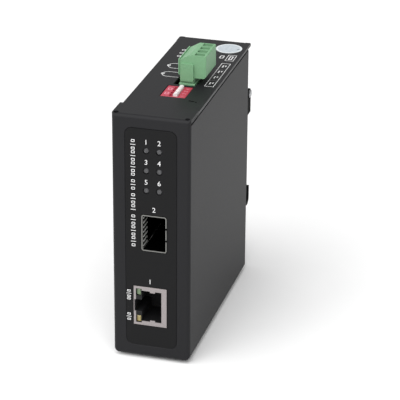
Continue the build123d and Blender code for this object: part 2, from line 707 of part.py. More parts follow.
# Light pipes in the corners of the jack, with bevelled faces
for side, colour in ((1, "green"), (-1, "yellow")):
    with BuildPart() as light_pipe:
        with BuildSketch(facing(SHIELD_SHEET - PIPE_PROUD)):
            lamp_windows((side,), PIPE_GAP)
        extrude(amount=-(MOUTH_DEPTH - SHIELD_SHEET + PIPE_PROUD))
        chamfer(light_pipe.faces().sort_by(Axis.Y)[0].edges(), PIPE_EDGE)
    save(light_pipe.part, f"rj45_lamp_{colour}")

# DIP switch body, soldered to the board and facing up through the top plate
DIP_X = BOARD_FACE - DIP_HEIGHT / 2
DIP_TOP = TOP_FACE - DIP_SUNK
SLOT_LENGTH = SLIDER_LENGTH + DIP_TRAVEL + 2 * SLIDER_GAP
SLIDER_X = DIP_X + DIP_TRAVEL / 2
with BuildPart() as dip_body:
    block(
        about(DIP_X, DIP_HEIGHT), about(FRONT + DIP_DEPTH, DIP_LENGTH), (DIP_TOP - DIP_TALL, DIP_TOP)
    )
    chamfer(dip_body.faces().sort_by(Axis.Z)[-1].edges(), DIP_EDGE)
    with BuildSketch(Plane.XY.offset(DIP_TOP)):
        with Locations(*[(DIP_X, FRONT + depth) for depth in WAY_DEPTHS]):
            Rectangle(SLOT_LENGTH, SLIDER_WIDTH + 2 * SLIDER_GAP)
    extrude(amount=-(SLIDER_SUNK + SLIDER_GAP), mode=Mode.SUBTRACT)
save(dip_body.part, "dip_body")

# White sliders, each with a pair of grip steps
for way, depth in enumerate(WAY_DEPTHS, start=1):
    with BuildPart() as dip_slider:
        block(
            about(SLIDER_X, SLIDER_LENGTH),
            about(FRONT + depth, SLIDER_WIDTH),
            (DIP_TOP - SLIDER_SUNK, DIP_TOP + SLIDER_PROUD),
        )
        top = dip_slider.faces().sort_by(Axis.Z)[-1]
        chamfer(top.edges().filter_by(Axis.Y), SLIDER_LENGTH / 5)
    save(dip_slider.part, f"dip_slider_{way}")

# Terminal header: a shroud that lies on the board and opens up through the top plate
with BuildPart() as terminal_header:
    block(
        (BOARD_FACE - HEADER_HEIGHT, BOARD_FACE),
        about(FRONT + TERMINAL_DEPTH, HEADER_LENGTH),
        (HEADER_BOTTOM, HEADER_TOP),
    )
    chamfer(terminal_header.faces().sort_by(Axis.Z)[-1].edges(), HEADER_EDGE)
    with BuildSketch(Plane.XY.offset(HEADER_TOP)):
        with Locations((PIN_X, FRONT + TERMINAL_DEPTH)):
            Rectangle(HEADER_HEIGHT - 2 * HEADER_WALL, HEADER_LENGTH - 2 * HEADER_WALL)
    extrude(amount=-(HEADER_TALL - HEADER_FLOOR), mode=Mode.SUBTRACT)
    with BuildSketch(Plane.XY.offset(HEADER_BOTTOM)):
        with Locations(*[(PIN_X, FRONT + depth) for depth in POLE_DEPTHS]):
            Rectangle(PIN + THREAD_GAP, PIN + THREAD_GAP)
    extrude(amount=HEADER_FLOOR, mode=Mode.SUBTRACT)
save(terminal_header.part, "terminal_header")

# Square header pins, bent under the header and soldered through the board
with BuildPart() as terminal_pins:
    for depth in POLE_DEPTHS:
        across = about(FRONT + depth, PIN)
        block(about(PIN_X, PIN), across, (PIN_BEND_Z - PIN / 2, HEADER_TOP - PIN_TOP_SUNK))
        block((PIN_X - PIN / 2, BOARD_BACK + PIN), across, about(PIN_BEND_Z, PIN))
save(terminal_pins.part, "terminal_pins")

# Terminal plug: one moulding with a nose in the header and a wider head above it
NOSE_HALF = HEADER_HEIGHT / 2 - HEADER_WALL - PLUG_GAP
NOSE_BOTTOM = HEADER_BOTTOM + HEADER_FLOOR + PLUG_GAP
SHOULDER_BOTTOM = HEADER_TOP + PLUG_SEAT
HEAD_BOTTOM = SHOULDER_BOTTOM + SHOULDER_TALL
HEAD_TOP = HEAD_BOTTOM + PLUG_TALL
NOSE_LENGTH = HEADER_LENGTH - 2 * (HEADER_WALL + PLUG_GAP)
PLUG_FRONT = TERMINAL_DEPTH - PLUG_LENGTH / 2
with BuildPart() as terminal_plug:
    with BuildSketch(facing(PLUG_FRONT)):
        with BuildLine():
            Polyline(
                (PIN_X - SHOULDER_HALF, SHOULDER_BOTTOM),
                (PIN_X + SHOULDER_HALF, SHOULDER_BOTTOM),
                (PIN_X + SHOULDER_HALF, HEAD_BOTTOM - PLUG_CHAMFER),
                (PIN_X + PLUG_RIGHT - PLUG_CHAMFER, HEAD_BOTTOM - PLUG_CHAMFER),
                (PIN_X + PLUG_RIGHT, HEAD_BOTTOM),
                (PIN_X + PLUG_RIGHT, HEAD_TOP + PLUG_STEP),
                (PIN_X + PLUG_STEP_X, HEAD_TOP + PLUG_STEP),
                (PIN_X + PLUG_STEP_X - PLUG_STEP, HEAD_TOP),
                (PIN_X - PLUG_LEFT, HEAD_TOP),
                (PIN_X - PLUG_LEFT, HEAD_BOTTOM),
                (PIN_X - SHOULDER_HALF, HEAD_BOTTOM),
                close=True,
            )
        make_face()
    extrude(amount=-PLUG_LENGTH)
    chamfer(terminal_plug.edges().filter_by(Axis.Z).group_by(Axis.X)[0], PLUG_EDGE)
    chamfer(terminal_plug.edges().filter_by(Axis.Z).group_by(Axis.X)[-1], PLUG_EDGE)
    chamfer(terminal_plug.edges().filter_by(Axis.Y).group_by(Axis.Z)[-1].sort_by(Axis.X)[-1], PLUG_EDGE)
    chamfer(terminal_plug.edges().filter_by(Axis.Y).group_by(Axis.X)[0], PLUG_EDGE)
    block(
        about(PIN_X, 2 * NOSE_HALF),
        about(FRONT + TERMINAL_DEPTH, NOSE_LENGTH),
        (NOSE_BOTTOM, SHOULDER_BOTTOM),
    )
    for depth, outward in ((PLUG_FRONT, 1), (PLUG_FRONT + PLUG_LENGTH, -1)):
        with BuildSketch(facing(depth)):
            with Locations((PIN_X, SHOULDER_BOTTOM + PANEL_TALL / 2 + PANEL_ROUND)):
                RectangleRounded(2 * SHOULDER_HALF - GROOVE, PANEL_TALL, PANEL_ROUND)
        extrude(amount=outward * PANEL_PROUD)
    with BuildSketch(Plane.XY.offset(HEAD_TOP + PLUG_STEP)):
        with Locations(*[(PIN_X + (WIRE_LOW + WIRE_HIGH) / 2, FRONT + d) for d in POLE_DEPTHS]):
            Rectangle(WIRE_HIGH - WIRE_LOW, WIRE_ACROSS)
    extrude(amount=-(PLUG_TALL + PLUG_STEP - WIRE_FLOOR), mode=Mode.SUBTRACT)
    with BuildSketch(Plane.YZ.offset(PIN_X - PLUG_LEFT)):
        with Locations(*[(FRONT + depth, HEAD_BOTTOM + CLAMP_SCREW_Z) for depth in POLE_DEPTHS]):
            Circle(CLAMP_HEAD / 2 + CLAMP_BORE_GAP)
    extrude(amount=PLUG_LEFT + WIRE_LOW, mode=Mode.SUBTRACT)
    with BuildSketch(Plane.XY.offset(NOSE_BOTTOM)):
        with Locations(*[(PIN_X, FRONT + depth) for depth in POLE_DEPTHS]):
            Rectangle(PIN + 2 * PIN_GAP, PIN + 2 * PIN_GAP)
    extrude(amount=SHOULDER_BOTTOM - NOSE_BOTTOM, mode=Mode.SUBTRACT)
    for depth in POLE_DEPTHS[1:]:
        between = FRONT + depth - POLE_PITCH / 2
        block(
            (PIN_X + PLUG_STEP_X + GROOVE, PIN_X + PLUG_RIGHT + CUT),
            about(between, GROOVE),
            (HEAD_TOP + PLUG_STEP - GROOVE, HEAD_TOP + PLUG_STEP + CUT),
            Mode.SUBTRACT,
        )
    lid = about(PIN_X - PLUG_LEFT + LID_SHEET, LID_GROOVE)
    for depth in (PLUG_FRONT, PLUG_FRONT + PLUG_LENGTH):
        block(lid, about(FRONT + depth, 2 * LID_GROOVE), (HEAD_BOTTOM, HEAD_TOP + CUT), Mode.SUBTRACT)
    block(lid, about(FRONT + TERMINAL_DEPTH, PLUG_LENGTH), about(HEAD_TOP, 2 * LID_GROOVE), Mode.SUBTRACT)
save(terminal_plug.part, "terminal_plug")

# Contact boxes of the plug, one at the foot of each wire entry
CLAMP_X = PIN_X + (WIRE_LOW + WIRE_HIGH) / 2
CLAMP_LENGTH = WIRE_HIGH - WIRE_LOW - 2 * CLAMP_GAP
CLAMP_ACROSS = WIRE_ACROSS - 2 * CLAMP_GAP
CLAMP_BOTTOM = HEAD_BOTTOM + WIRE_FLOOR + CLAMP_GAP
SCREW_Z = HEAD_BOTTOM + CLAMP_SCREW_Z
with BuildPart() as wire_clamps:
    for depth in POLE_DEPTHS:
        with BuildSketch(Plane.XY.offset(CLAMP_BOTTOM)):
            with Locations((CLAMP_X, FRONT + depth)):
                Rectangle(CLAMP_LENGTH, CLAMP_ACROSS)
                Rectangle(
                    CLAMP_LENGTH - 2 * CLAMP_SHEET, CLAMP_ACROSS - 2 * CLAMP_SHEET, mode=Mode.SUBTRACT
                )
        extrude(amount=CLAMP_TALL)
    with BuildSketch(Plane.YZ.offset(CLAMP_X - CLAMP_LENGTH / 2)):
        with Locations(*[(FRONT + depth, SCREW_Z) for depth in POLE_DEPTHS]):
            Circle(CLAMP_SHANK / 2 + THREAD_GAP)
    extrude(amount=CLAMP_SHEET, mode=Mode.SUBTRACT)
save(wire_clamps.part, "wire_clamps")

# Slotted clamp screws, turned from the left side of the plug
for pole, depth in enumerate(POLE_DEPTHS, start=1):
    head_face = PIN_X - PLUG_LEFT + CLAMP_HEAD_SUNK
    tip = CLAMP_X - CLAMP_LENGTH / 2 + 2 * CLAMP_SHEET
    with BuildPart() as clamp_screw:
        with BuildSketch(Plane.YZ.offset(head_face)):
            with Locations((FRONT + depth, SCREW_Z)):
                Circle(CLAMP_HEAD / 2)
        extrude(amount=CLAMP_HEAD_LENGTH)
        with BuildSketch(Plane.YZ.offset(head_face)):
            with Locations((FRONT + depth, SCREW_Z)):
                Circle(CLAMP_SHANK / 2)
        extrude(amount=tip - head_face)
        with BuildSketch(Plane.YZ.offset(head_face)):
            with Locations((FRONT + depth, SCREW_Z)):
                Rectangle(CLAMP_SLOT, CLAMP_HEAD + CUT)
        extrude(amount=CLAMP_HEAD_LENGTH / 3, mode=Mode.SUBTRACT)
    save(clamp_screw.part, f"terminal_screw_{pole}")

# Converter chip, a flat square package behind the cage
CHIP_DEPTH = SFP_LENGTH + CHIP_BEHIND_CAGE + CHIP / 2
CHIP_Z = SFP_Z - CHIP_DROP
with BuildPart() as converter_chip:
    block(
        (BOARD_FACE - CHIP_TALL, BOARD_FACE), about(FRONT + CHIP_DEPTH, CHIP), about(CHIP_Z, CHIP)
    )
    chamfer(converter_chip.faces().sort_by(Axis.X)[0].edges(), CHIP_TALL / 5)
save(converter_chip.part, "converter_chip")

# Line transformer behind the copper jack
TRANSFORMER_DEPTH = RJ45_LENGTH + TRANSFORMER_BEHIND_JACK + TRANSFORMER[0] / 2
with BuildPart() as line_transformer:
    block(
        (BOARD_FACE - TRANSFORMER[2], BOARD_FACE),
        about(FRONT + TRANSFORMER_DEPTH, TRANSFORMER[0]),
        about(RJ45_Z, TRANSFORMER[1]),
    )
    chamfer(line_transformer.faces().sort_by(Axis.X)[0].edges(), HOLDER_CHAMFER)
save(line_transformer.part, "line_transformer")

# Shielded power inductor behind the capacitors
CAN_DEPTHS = [TERMINAL_DEPTH + can * CAPACITOR_PITCH for can in range(CAPACITORS)]
INDUCTOR_PLACE = (FRONT + CAN_DEPTHS[-1] + INDUCTOR_BEHIND_CAN, CHIP_Z + INDUCTOR_ABOVE_CHIP)
with BuildPart() as power_inductor:
    with BuildSketch(Plane.YZ.offset(BOARD_FACE)):
        with Locations(INDUCTOR_PLACE):
            RectangleRounded(INDUCTOR, INDUCTOR, INDUCTOR / 5)
    extrude(amount=-INDUCTOR_TALL)
    with BuildSketch(Plane.YZ.offset(BOARD_FACE - INDUCTOR_TALL)):
        with Locations(INDUCTOR_PLACE):
            Circle(INDUCTOR / 3)
    extrude(amount=HOLDER_CHAMFER, mode=Mode.SUBTRACT)
save(power_inductor.part, "power_inductor")

# Electrolytic capacitors in a row on the board
with BuildPart() as capacitors:
    with BuildSketch(Plane.YZ.offset(BOARD_FACE)):
        with Locations(*[(FRONT + depth, CHIP_Z + CAPACITOR_ABOVE_CHIP) for depth in CAN_DEPTHS]):
            Circle(CAPACITOR / 2)
    extrude(amount=-CAPACITOR_TALL)
    chamfer(capacitors.faces().sort_by(Axis.X)[0:CAPACITORS].edges(), CAPACITOR_EDGE)
save(capacitors.part, "capacitors")

# Crystal can below the chip
with BuildPart() as crystal:
    with BuildSketch(Plane.YZ.offset(BOARD_FACE)):
        with Locations((FRONT + CHIP_DEPTH, CHIP_Z - CRYSTAL_BELOW_CHIP)):
            SlotOverall(CRYSTAL[1], CRYSTAL[0])
    extrude(amount=-CRYSTAL[2])
save(crystal.part, "crystal")

# Rail clip: a plate screwed to the back, two hooks folded under the rail and two ears above it
RAIL_LOW = RAIL_Z - RAIL_HEIGHT / 2
RAIL_HIGH = RAIL_Z + RAIL_HEIGHT / 2
CLIP_HALF = BACK_HALF - CLIP_INSET
SEAT = BACK + CLIP_SHEET
HOOK_FLOOR = RAIL_LOW - HOOK_DROP - CLIP_SHEET / 2
HOOK_OUT = SEAT + RAIL_SHEET + HOOK_GAP + CLIP_SHEET / 2
PIVOT = (BACK + PIVOT_OUT, RAIL_HIGH + PIVOT_UP)
EAR_INSIDE = CLIP_HALF - EAR_SHEET
EAR_LOW = RAIL_HIGH + EAR_FOOT
with BuildPart() as clip_plate:
    with BuildSketch(Plane.YZ):
        with BuildLine():
            FilletPolyline(
                (BACK + CLIP_SHEET / 2, RAIL_HIGH + CLIP_TOP),
                (BACK + CLIP_SHEET / 2, HOOK_FLOOR),
                (HOOK_OUT, HOOK_FLOOR),
                (HOOK_OUT, RAIL_LOW + HOOK_LIP),
                radius=(HOOK_OUT - BACK - CLIP_SHEET / 2 - HOOK_FLAT) / 2,
            )
        trace(line_width=CLIP_SHEET)
    extrude(amount=CLIP_HALF, both=True)
    fillet(clip_plate.edges().filter_by(Axis.Y).group_by(Axis.Z)[-1], CLIP_CORNER)
    block(
        (HOOK_WIDTH - CLIP_HALF, CLIP_HALF - HOOK_WIDTH),
        (BACK - CUT, HOOK_OUT + CUT + CLIP_SHEET),
        (HOOK_FLOOR - CUT - CLIP_SHEET, RAIL_LOW + HOOK_LIP + CUT),
        Mode.SUBTRACT,
    )
    for side in (-1, 1):
        with BuildSketch(Plane.YZ.offset(side * CLIP_HALF)):
            with BuildLine():
                Polyline(
                    (SEAT, PIVOT[1] + EYE_RADIUS),
                    (SEAT, EAR_LOW),
                    (BACK + CLIP_REACH, EAR_LOW),
                    (BACK + CLIP_REACH, PIVOT[1]),
                )
                RadiusArc((BACK + CLIP_REACH, PIVOT[1]), (PIVOT[0], PIVOT[1] + EYE_RADIUS), -EYE_RADIUS)
                Line((PIVOT[0], PIVOT[1] + EYE_RADIUS), (SEAT, PIVOT[1] + EYE_RADIUS))
            make_face()
        extrude(amount=-side * EAR_SHEET)
    with BuildSketch(Plane.YZ):
        with Locations(PIVOT):
            Circle(PIN_DIAMETER / 2 + THREAD_GAP)
    extrude(amount=CLIP_HALF + CUT, both=True, mode=Mode.SUBTRACT)
    for x, up in CLIP_SCREWS:
        with Locations(Location((x, SEAT, RAIL_Z + up), (90, 0, 0))):
            Cone(
                HEAD_DIAMETER / 2 + THREAD_GAP,
                THREAD / 2 + THREAD_GAP,
                CLIP_SHEET,
                align=(Align.CENTER, Align.CENTER, Align.MIN),
                mode=Mode.SUBTRACT,
            )
save(clip_plate.part, "clip_plate")

# Pin across the ears, with a riveted head outside each
with BuildPart() as clip_pin:
    with BuildSketch(Plane.YZ.offset(-CLIP_HALF)):
        with Locations(PIVOT):
            Circle(PIN_DIAMETER / 2)
    extrude(amount=2 * CLIP_HALF)
    for side in (-1, 1):
        with BuildSketch(Plane.YZ.offset(side * CLIP_HALF)):
            with Locations(PIVOT):
                Circle(PIN_HEAD / 2)
        extrude(amount=side * PIN_HEAD_LENGTH)
    for end in (0, -1):
        chamfer(clip_pin.faces().sort_by(Axis.X)[end].edges(), PIN_HEAD_EDGE)
save(clip_pin.part, "clip_pin")

# Sprung jaw: a rolled eye on the pin, a leaf behind the rail's upper edge and a tail to press
JAW_HALF = EAR_INSIDE - JAW_SIDE_GAP
LEAF = SEAT + RAIL_SHEET + RAIL_GAP
JAW_SHELF = RAIL_HIGH + RAIL_GAP
with BuildPart() as clip_jaw:
    with BuildSketch(Plane.YZ):
        with Locations(PIVOT):
            Circle(EYE_RADIUS)
        with BuildLine():
            Polyline(
                (LEAF, PIVOT[1]),
                (LEAF, JAW_SHELF + JAW_SHEET),
                (SEAT + RAIL_GAP, JAW_SHELF + JAW_SHEET),
                (SEAT + RAIL_GAP, JAW_SHELF),
                (LEAF, JAW_SHELF),
                (LEAF, RAIL_HIGH - JAW_LIP),
                (LEAF + JAW_SHEET, RAIL_HIGH - JAW_LIP),
                (LEAF + JAW_SHEET, PIVOT[1]),
                close=True,
            )
        make_face()
        with Locations((PIVOT[0], PIVOT[1] + JAW_TAIL / 2)):
            Rectangle(JAW_SHEET, JAW_TAIL)
        with Locations(PIVOT):
            Circle(PIN_DIAMETER / 2 + EYE_GAP, mode=Mode.SUBTRACT)
    extrude(amount=JAW_HALF, both=True)
save(clip_jaw.part, "clip_jaw")

# Countersunk screws of the clip
with BuildPart() as clip_screws:
    for x, up in CLIP_SCREWS:
        with Locations(Location((x, SEAT, RAIL_Z + up), (90, 0, 0))):
            Cone(
                HEAD_DIAMETER / 2,
                THREAD / 2,
                CLIP_SHEET,
                align=(Align.CENTER, Align.CENTER, Align.MIN),
            )
            Cylinder(
                THREAD / 2, CLIP_SCREW_LENGTH, align=(Align.CENTER, Align.CENTER, Align.MIN)
            )
save(clip_screws.part, "clip_screws")
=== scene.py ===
import json
import math

import bpy
from mathutils import Matrix, Vector

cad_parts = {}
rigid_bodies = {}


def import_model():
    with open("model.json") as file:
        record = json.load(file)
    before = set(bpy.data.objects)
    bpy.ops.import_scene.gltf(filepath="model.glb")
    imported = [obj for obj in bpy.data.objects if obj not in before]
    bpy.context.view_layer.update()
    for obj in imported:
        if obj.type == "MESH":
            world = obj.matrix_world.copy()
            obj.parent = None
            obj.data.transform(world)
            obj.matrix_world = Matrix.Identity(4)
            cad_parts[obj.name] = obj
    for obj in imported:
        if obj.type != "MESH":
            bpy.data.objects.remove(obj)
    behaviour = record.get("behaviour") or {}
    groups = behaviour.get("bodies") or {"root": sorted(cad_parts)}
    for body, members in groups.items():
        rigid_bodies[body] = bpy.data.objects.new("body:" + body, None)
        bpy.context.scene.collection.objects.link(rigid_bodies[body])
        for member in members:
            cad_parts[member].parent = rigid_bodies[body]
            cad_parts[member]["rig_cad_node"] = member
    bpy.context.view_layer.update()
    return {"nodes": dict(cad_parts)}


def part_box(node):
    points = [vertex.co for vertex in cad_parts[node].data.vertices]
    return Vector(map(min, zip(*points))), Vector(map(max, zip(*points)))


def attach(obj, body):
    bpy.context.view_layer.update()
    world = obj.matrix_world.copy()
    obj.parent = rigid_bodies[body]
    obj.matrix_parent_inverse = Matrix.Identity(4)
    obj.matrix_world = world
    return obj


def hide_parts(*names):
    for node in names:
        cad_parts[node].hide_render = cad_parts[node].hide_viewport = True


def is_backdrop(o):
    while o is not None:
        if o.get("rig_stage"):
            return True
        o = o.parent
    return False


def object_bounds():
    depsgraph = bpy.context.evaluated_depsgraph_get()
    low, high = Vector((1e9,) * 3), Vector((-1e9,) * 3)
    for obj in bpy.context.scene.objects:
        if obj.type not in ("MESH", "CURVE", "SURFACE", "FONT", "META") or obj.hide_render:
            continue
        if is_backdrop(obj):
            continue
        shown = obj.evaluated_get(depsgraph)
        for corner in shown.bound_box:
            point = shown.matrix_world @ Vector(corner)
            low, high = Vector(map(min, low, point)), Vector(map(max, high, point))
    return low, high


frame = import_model()
nodes = frame["nodes"]
MM = 0.001


# Circuit board: a plate of glass fibre and epoxy, printed with a green solder mask.
# It stands upright on stand-offs and carries everything else inside the case.
# The mask is a thin lacquer, so its green has a soft, slightly uneven shine.
def linear(code):
    """An sRGB hex colour as linear red, green, blue and alpha."""
    shares = [int(code[place : place + 2], 16) / 255 for place in (1, 3, 5)]
    return [s / 12.92 if s <= 0.04045 else ((s + 0.055) / 1.055) ** 2.4 for s in shares] + [1.0]


def add(material, kind, values=None, links=None, **settings):
    """Add a shader node with its settings and values, and link its inputs to other nodes."""
    tree = material.node_tree
    node = tree.nodes.new(kind)
    for name, setting in settings.items():
        setattr(node, name, setting)
    for name, value in (values or {}).items():
        node.inputs[name].default_value = value
    for name, (source, output) in (links or {}).items():
        tree.links.new(source.outputs[output], node.inputs[name])
    return node


def begin(name, **values):
    """Start a material: its shader, and the object's own coordinates for its patterns."""
    material = bpy.data.materials.new(name)
    material.use_nodes = True
    material.node_tree.nodes.clear()
    sockets = {socket.replace("_", " "): value for socket, value in values.items()}
    surface = add(material, "ShaderNodeBsdfPrincipled", sockets)
    add(material, "ShaderNodeOutputMaterial", links={"Surface": (surface, "BSDF")})
    place = add(material, "ShaderNodeTexCoord")
    return material, surface, place


# Sockets of a colour mix: its two colours and its result
COLOUR_A, COLOUR_B, COLOUR_MIXED = 6, 7, 2


def grain(material, surface, place, size, low, high, strength, depth, rough):
    """Mottle a surface: grain of a real size between two colours, as a bump and in the roughness."""
    noise = add(
        material,
        "ShaderNodeTexNoise",
        {"Scale": 1 / (size * MM), "Detail": 3.0, "Roughness": 0.6},
        {"Vector": (place, "Object")},
    )
    tint = add(material, "ShaderNodeMix", links={"Factor": (noise, "Fac")}, data_type="RGBA")
    tint.inputs[COLOUR_A].default_value = linear(low)
    tint.inputs[COLOUR_B].default_value = linear(high)
    bump = add(
        material,
        "ShaderNodeBump",
        {"Strength": strength, "Distance": depth * MM},
        {"Height": (noise, "Fac")},
    )
    spread = add(
        material,
        "ShaderNodeMapRange",
        {"To Min": rough[0], "To Max": rough[1]},
        {"Value": (noise, "Fac")},
    )
    links = material.node_tree.links
    links.new(tint.outputs[COLOUR_MIXED], surface.inputs["Base Color"])
    links.new(bump.outputs["Normal"], surface.inputs["Normal"])
    links.new(spread.outputs["Result"], surface.inputs["Roughness"])
    return tint


def dress(material, *names):
    """Give CAD nodes a finish."""
    for name in names:
        nodes[name].data.materials.clear()
        nodes[name].data.materials.append(material)


bpy.ops.object.select_all(action="DESELECT")
solder_mask, surface, place = begin("solder_mask_on_fr4", IOR=1.55)
grain(solder_mask, surface, place, 1.2, "#1d5a34", "#2a7344", 0.15, 0.03, (0.28, 0.42))
dress(solder_mask, "main_board")

# Stand-offs: hexagons turned from brass bar, clinched into the right wall.
# The brass is bare, so its shine is soft and a little cloudy.
brass, surface, place = begin("turned_brass", Metallic=1.0)
grain(brass, surface, place, 0.4, "#a98a4a", "#c9aa66", 0.2, 0.02, (0.28, 0.45))
dress(brass, "board_standoffs")

# Screws, clamps and the clip's pin: steel with a clear zinc plating.
# The plating is bright but slightly cloudy, with darker patches where it is thin.
zinc, surface, place = begin("zinc_plated_steel", Metallic=1.0)
grain(zinc, surface, place, 0.5, "#8f9194", "#b9babb", 0.15, 0.02, (0.25, 0.45))
screws = [f"terminal_screw_{pole}" for pole in range(1, 5)]
dress(zinc, "board_screws", "case_screws", "clip_screws", "clip_pin", "wire_clamps", *screws)

# Lamp holders, the module socket, the jack's body, the chip and the coils.
# All are black mouldings filled with glass, so they are dull with a fine tooled grain.
black_pbt, surface, place = begin("black_moulded_pbt", IOR=1.55)
surface.inputs["Specular IOR Level"].default_value = 0.25
grain(black_pbt, surface, place, 0.3, "#0b0b0c", "#141416", 0.25, 0.03, (0.5, 0.7))
holders = [f"lamp_holder_{row}" for row in range(1, 4)]
dress(black_pbt, "sfp_socket", "rj45_body", *holders)
dress(black_pbt, "converter_chip", "line_transformer", "power_inductor")

# Capacitors: cans drawn from aluminium, in a row on the board.
# The drawn metal is left bare, with a satin and slightly cloudy face.
aluminium, surface, place = begin("drawn_aluminium", Metallic=1.0)
grain(aluminium, surface, place, 0.6, "#a4a6aa", "#c4c6c9", 0.1, 0.02, (0.25, 0.4))
dress(aluminium, "capacitors")

# Status lamps: cast epoxy with a diffusing filler, unlit, in three rows of two.
# Seen from outside they are dark grey, waxy discs.
epoxy, surface, place = begin("diffused_epoxy", IOR=1.54)
surface.inputs["Subsurface Weight"].default_value = 0.25
surface.inputs["Subsurface Radius"].default_value = (MM, MM, MM)
grain(epoxy, surface, place, 0.9, "#333335", "#474749", 0.1, 0.02, (0.3, 0.45))
dress(epoxy, *[f"status_lamp_{lamp}" for lamp in range(1, 7)])

# Cage of the optical module, shield of the copper jack and can of the crystal: steel plated with tin.
# Tin is a soft white metal, a little cloudy. Inside the cage, from just behind its mouth, painted shade
# turns the tin dark, and the springs along its left wall get a painted highlight: a pale colour with the
# metal shine turned off, so they take the light.
tin, surface, place = begin("bright_tin_plate", Metallic=1.0)
grain(tin, surface, place, 0.7, "#948e8e", "#aca5a5", 0.1, 0.02, (0.34, 0.5))
dress(tin, "rj45_shield", "crystal")


def shade(material, surface, tint, share, output, code):
    """Fade a surface's tint into another colour by a share between 0 and 1."""
    mix = add(material, "ShaderNodeMix", links={"Factor": (share, output)}, data_type="RGBA")
    mix.inputs[COLOUR_B].default_value = linear(code)
    material.node_tree.links.new(tint.outputs[COLOUR_MIXED], mix.inputs[COLOUR_A])
    material.node_tree.links.new(mix.outputs[COLOUR_MIXED], surface.inputs["Base Color"])
    return mix


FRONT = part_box("front_shell")[0].y
RIM = 0.15 * MM
SPRING_INSET = 0.58 * MM
SPRING_HALF = 0.12 * MM
CAGE_WALL = 0.6 * MM
cage_low, cage_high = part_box("sfp_cage")
SPRINGS_X = cage_low.x + SPRING_INSET
CAGE_MIDDLE = (cage_low.z + cage_high.z) / 2
CAGE_REACH = (cage_high.z - cage_low.z) / 2 - CAGE_WALL
cage_tin, surface, place = begin("tin_plate_painted_shade_inside", Metallic=1.0)
tint = grain(cage_tin, surface, place, 0.7, "#767674", "#8e8e8a", 0.1, 0.02, (0.32, 0.5))
split = add(cage_tin, "ShaderNodeSeparateXYZ", links={"Vector": (place, "Object")})
# Painted shade: the cage's tin turns dark from just behind its mouth inwards.
painted_shade_inside = add(
    cage_tin,
    "ShaderNodeMapRange",
    {"From Min": FRONT + RIM, "From Max": FRONT + 2 * RIM},
    {"Value": (split, "Y")},
)
tint = shade(cage_tin, surface, tint, painted_shade_inside, "Result", "#121212")
# Painted highlight: the springs along the left wall turn pale and lose their metal shine, so they look lit.
spring = add(
    cage_tin, "ShaderNodeMath", {1: SPRINGS_X, 2: SPRING_HALF}, {0: (split, "X")}, operation="COMPARE"
)
between = add(
    cage_tin, "ShaderNodeMath", {1: CAGE_MIDDLE, 2: CAGE_REACH}, {0: (split, "Z")}, operation="COMPARE"
)
spring_highlight = add(
    cage_tin, "ShaderNodeMath", links={0: (spring, "Value"), 1: (between, "Value")}, operation="MULTIPLY"
)
shade(cage_tin, surface, tint, spring_highlight, "Value", "#b4b4b0")
metallic_off_at_highlight = add(cage_tin, "ShaderNodeMath", {0: 1.0}, {1: (spring_highlight, "Value")}, operation="SUBTRACT")
cage_tin.node_tree.links.new(metallic_off_at_highlight.outputs["Value"], surface.inputs["Metallic"])
dress(cage_tin, "sfp_cage")

# Contacts of the jack and pins of the header: copper alloy with a thin gold flash.
# The flash is thin, so its yellow shine is soft and a little uneven.
gold, surface, place = begin("gold_flash", Metallic=1.0)
grain(gold, surface, place, 0.3, "#a98743", "#cfae63", 0.1, 0.01, (0.3, 0.45))
dress(gold, "rj45_contacts", "terminal_pins")

# Corner lamps of the jack: light pipes moulded from tinted acrylic, one green and one yellow.
# They are clear and wet-looking, and a painted highlight makes each paler towards its right side.
for name, low, high, pale in (
    ("green", "#1f3518", "#364d2a", "#76896a"),
    ("yellow", "#4a3d14", "#6a5926", "#a3955f"),
):
    lens_low, lens_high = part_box(f"rj45_lamp_{name}")
    acrylic, surface, place = begin(f"{name}_acrylic", IOR=1.49)
    surface.inputs["Coat Weight"].default_value = 0.3
    tint = grain(acrylic, surface, place, 1.2, low, high, 0.1, 0.05, (0.12, 0.25))
    split = add(acrylic, "ShaderNodeSeparateXYZ", links={"Vector": (place, "Object")})
    # Painted highlight: each lens fades to a paler colour towards its right side.
    lit = add(
        acrylic,
        "ShaderNodeMapRange",
        {"From Min": lens_low.x, "From Max": lens_high.x},
        {"Value": (split, "X")},
    )
    shade(acrylic, surface, tint, lit, "Result", pale)
    dress(acrylic, f"rj45_lamp_{name}")

# DIP switch: a red moulded body with four white sliders in its slots.
# Both are plain engineering plastic with a satin face from the mould.
red_pbt, surface, place = begin("red_moulded_pbt", IOR=1.55)
grain(red_pbt, surface, place, 0.5, "#a2293d", "#b0344a", 0.1, 0.03, (0.4, 0.55))
dress(red_pbt, "dip_body")
white_pbt, surface, place = begin("white_moulded_pbt", IOR=1.55)
grain(white_pbt, surface, place, 0.4, "#d6cfce", "#e6e0df", 0.1, 0.02, (0.4, 0.55))
dress(white_pbt, *[f"dip_slider_{way}" for way in range(1, 5)])

# Pluggable terminal: a header on the board and the plug pushed into it, both of green polyamide.
# Moulded polyamide is satin with a faint grain, and milky, as light sinks a little way into it.
polyamide, surface, place = begin("green_polyamide", IOR=1.53)
surface.inputs["Specular IOR Level"].default_value = 0.2
surface.inputs["Subsurface Weight"].default_value = 0.12
surface.inputs["Subsurface Radius"].default_value = (MM, 1.4 * MM, MM)
grain(polyamide, surface, place, 0.8, "#6d9874", "#79a47e", 0.12, 0.03, (0.38, 0.52))
dress(polyamide, "terminal_header", "terminal_plug")


def raise_points(piece, left, right, low, high, rise):
    """Select a piece's points between two places in X and two in Z, and raise them."""
    for point in piece.data.vertices:
        point.select = left < point.co.x < right and low < point.co.z < high
    bpy.ops.object.mode_set(mode="EDIT")
    bpy.ops.transform.translate(value=(0, 0, rise))
    bpy.ops.mesh.select_all(action="DESELECT")
    bpy.ops.object.mode_set(mode="OBJECT")


